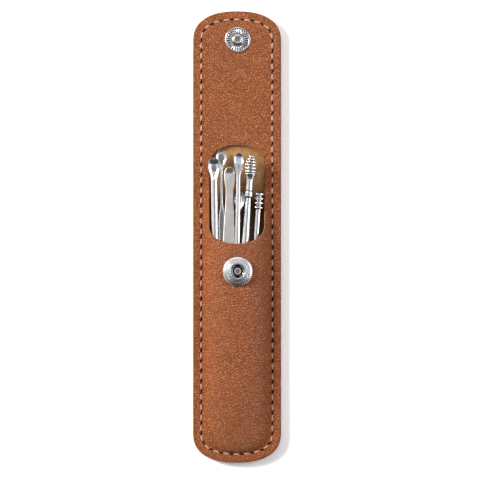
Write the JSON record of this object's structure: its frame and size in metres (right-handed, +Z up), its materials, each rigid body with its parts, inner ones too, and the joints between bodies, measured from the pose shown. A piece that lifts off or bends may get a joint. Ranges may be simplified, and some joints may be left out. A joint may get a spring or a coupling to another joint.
{
  "type": "ear pick set case",
  "caption": "Long snap case of grained leather laid open, with an oval window over steel ear and skin picks that slide out of its pocket.",
  "frame": {"origin": "middle of the open case's footprint, on the surface it lies on", "axes": "+Y along the case from the pouch to the flap, +Z up out of its face, +X to the right seen from above"},
  "size_m": [0.0348, 0.1772, 0.0104],
  "materials": {
    "leather": "pebble-grained tan leather, satin",
    "lining": "brushed golden-brown microfibre",
    "thread": "waxed tan polyester thread",
    "snap_steel": "bright nickel plate",
    "pick_steel": "polished stainless steel",
    "spatula_steel": "matt stainless sheet with bright edges"
  },
  "bodies": {
    "pouch": {"pouch_back_panel": "leather", "pouch_lining": "lining", "pouch_front_panel": "leather", "pouch_top_thread": "thread", "pouch_bobbin_thread": "thread", "snap_socket": "snap_steel", "socket_spring": "snap_steel", "socket_post": "snap_steel"},
    "flap": {"flap_back_panel": "leather", "flap_lining": "lining", "flap_front_panel": "leather", "flap_top_thread": "thread", "flap_bobbin_thread": "thread", "snap_stud": "snap_steel", "stud_post": "snap_steel"},
    "wide_spoon": {"wide_spoon": "pick_steel"},
    "long_spoon": {"long_spoon": "pick_steel"},
    "spatula": {"spatula": "spatula_steel"},
    "small_spoon": {"small_spoon": "pick_steel"},
    "ribbed_ball_pick": {"ribbed_ball_pick": "pick_steel"},
    "ringed_pick": {"ringed_pick": "pick_steel"},
    "short_spoon": {"short_spoon": "pick_steel"}
  },
  "joints": [
    {"name": "flap_fold", "type": "hinge", "parent": "pouch", "child": "flap", "pos_m": [0, 0.0319, 0.0068], "axis": [1, 0, 0], "range_deg": [0, 180]},
    {"name": "wide_spoon_slide", "type": "slide", "parent": "pouch", "child": "wide_spoon", "axis": [-0.0131, 0.9996, 0.0263], "range_m": [0, 0.115]},
    {"name": "long_spoon_slide", "type": "slide", "parent": "pouch", "child": "long_spoon", "axis": [-0.0087, 0.9999, 0.0145], "range_m": [0, 0.115]},
    {"name": "spatula_slide", "type": "slide", "parent": "pouch", "child": "spatula", "axis": [0.0125, 0.9998, 0.0128], "range_m": [0, 0.115]},
    {"name": "small_spoon_slide", "type": "slide", "parent": "pouch", "child": "small_spoon", "axis": [0.0146, 0.9998, 0.0158], "range_m": [0, 0.115]},
    {"name": "ribbed_ball_slide", "type": "slide", "parent": "pouch", "child": "ribbed_ball_pick", "axis": [0.0692, 0.9966, 0.0457], "range_m": [0, 0.115]},
    {"name": "ringed_slide", "type": "slide", "parent": "pouch", "child": "ringed_pick", "axis": [0.0637, 0.9978, 0.0188], "range_m": [0, 0.115]},
    {"name": "short_spoon_slide", "type": "slide", "parent": "pouch", "child": "short_spoon", "axis": [0.0495, 0.9986, 0.021], "range_m": [0, 0.115]}
  ]
}
